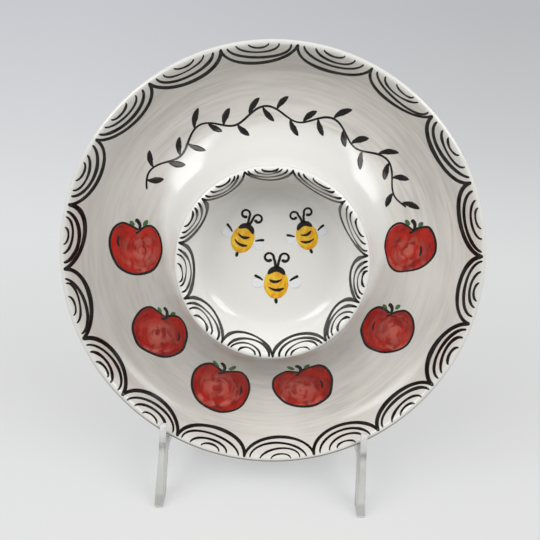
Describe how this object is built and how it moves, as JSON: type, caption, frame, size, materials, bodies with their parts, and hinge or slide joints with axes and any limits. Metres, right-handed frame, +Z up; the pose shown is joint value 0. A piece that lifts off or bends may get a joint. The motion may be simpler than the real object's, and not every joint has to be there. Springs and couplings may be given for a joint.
{
  "type": "apples and honey dish",
  "caption": "Round glazed serving dish with a raised honey bowl in a wide apple trough, held up by a clear display stand.",
  "frame": {"origin": "centre of the object's footprint, on the surface that the stand's foot pads rest on", "axes": "+Z up, -Y towards the decorated face, +X to the right of someone facing that face"},
  "size_m": [0.3048, 0.146, 0.3185],
  "materials": {
    "glaze": "high gloss glaze",
    "clear_plastic": "polished",
    "clear_pad": "satin"
  },
  "bodies": {
    "stand": {"left_side_frame": "clear_plastic", "right_side_frame": "clear_plastic", "upper_cross_bar": "clear_plastic", "lower_cross_bar": "clear_plastic", "left_front_foot_pad": "clear_pad", "left_rear_foot_pad": "clear_pad", "right_front_foot_pad": "clear_pad", "right_rear_foot_pad": "clear_pad"},
    "dish": {"honey_dish": "glaze"}
  },
  "joints": [
    {"name": "dish_lift", "type": "slide", "parent": "stand", "child": "dish", "axis": [0, 0.2588, 0.9659], "range_m": [0, 0.25]}
  ]
}
